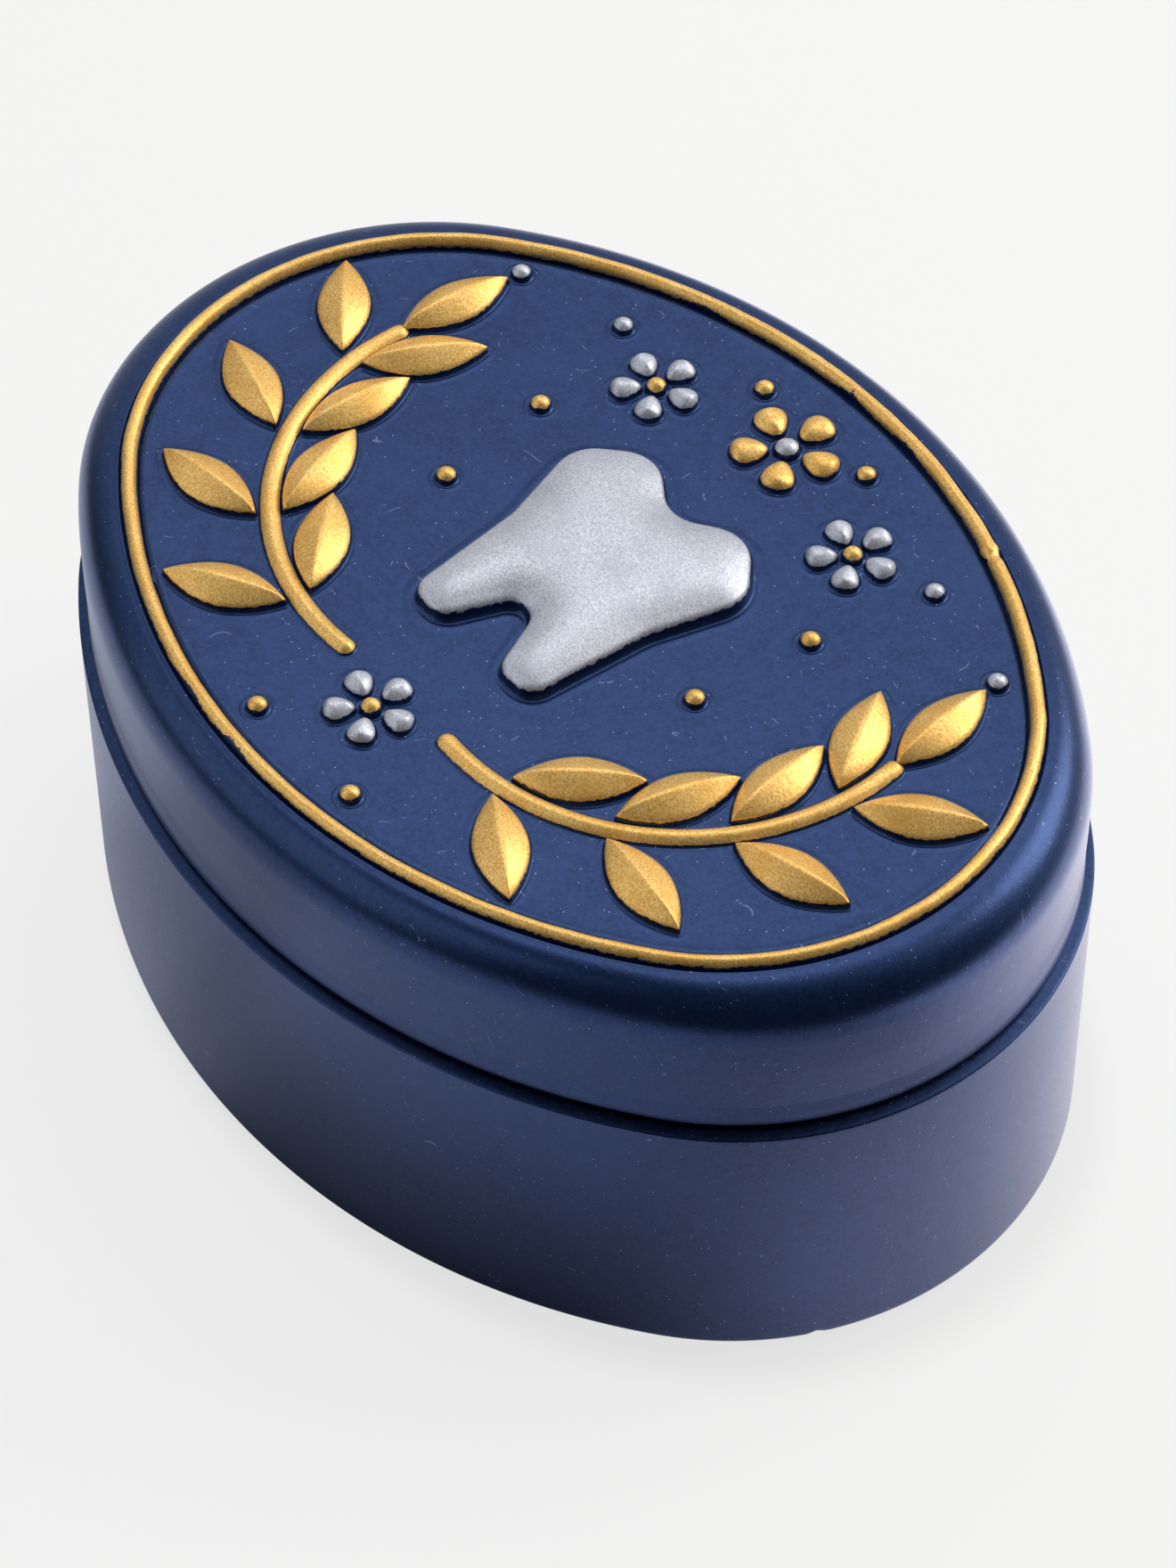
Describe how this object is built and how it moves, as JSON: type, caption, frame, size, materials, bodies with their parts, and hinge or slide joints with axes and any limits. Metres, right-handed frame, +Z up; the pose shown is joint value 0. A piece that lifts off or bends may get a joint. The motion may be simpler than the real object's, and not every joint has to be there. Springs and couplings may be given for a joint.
{
  "type": "baby tooth box",
  "caption": "Oval keepsake box for a baby tooth: a hollow base with a lip, a lift-off lid that drops over it, a gold bead round the top, raised metallic ornament and a felt sole.",
  "frame": {"origin": "middle of the felt sole's underside, on the surface that the box stands on", "axes": "+X along the box's long axis, +Y along its short axis towards the top of the lid's ornament, +Z up"},
  "size_m": [0.075, 0.0552, 0.0352],
  "materials": {
    "navy_resin": "satin navy paint on cast resin",
    "gold_paint": "metallic gold paint on cast resin",
    "silver_paint": "metallic silver paint on cast resin",
    "navy_felt": "pressed felt"
  },
  "bodies": {
    "base": {"base_box": "navy_resin", "felt_sole": "navy_felt"},
    "lid": {"lid": "navy_resin", "rim_bead": "gold_paint", "tooth_relief": "silver_paint", "stem_right": "gold_paint", "stem_left": "gold_paint", "leaves_right": "gold_paint", "leaves_left": "gold_paint", "gold_petals": "gold_paint", "silver_petals": "silver_paint", "gold_pearls": "gold_paint", "silver_pearls": "silver_paint"}
  },
  "joints": [
    {"name": "lid_lift", "type": "slide", "parent": "base", "child": "lid", "axis": [0, 0, 1], "range_m": [0, 0.045]}
  ]
}
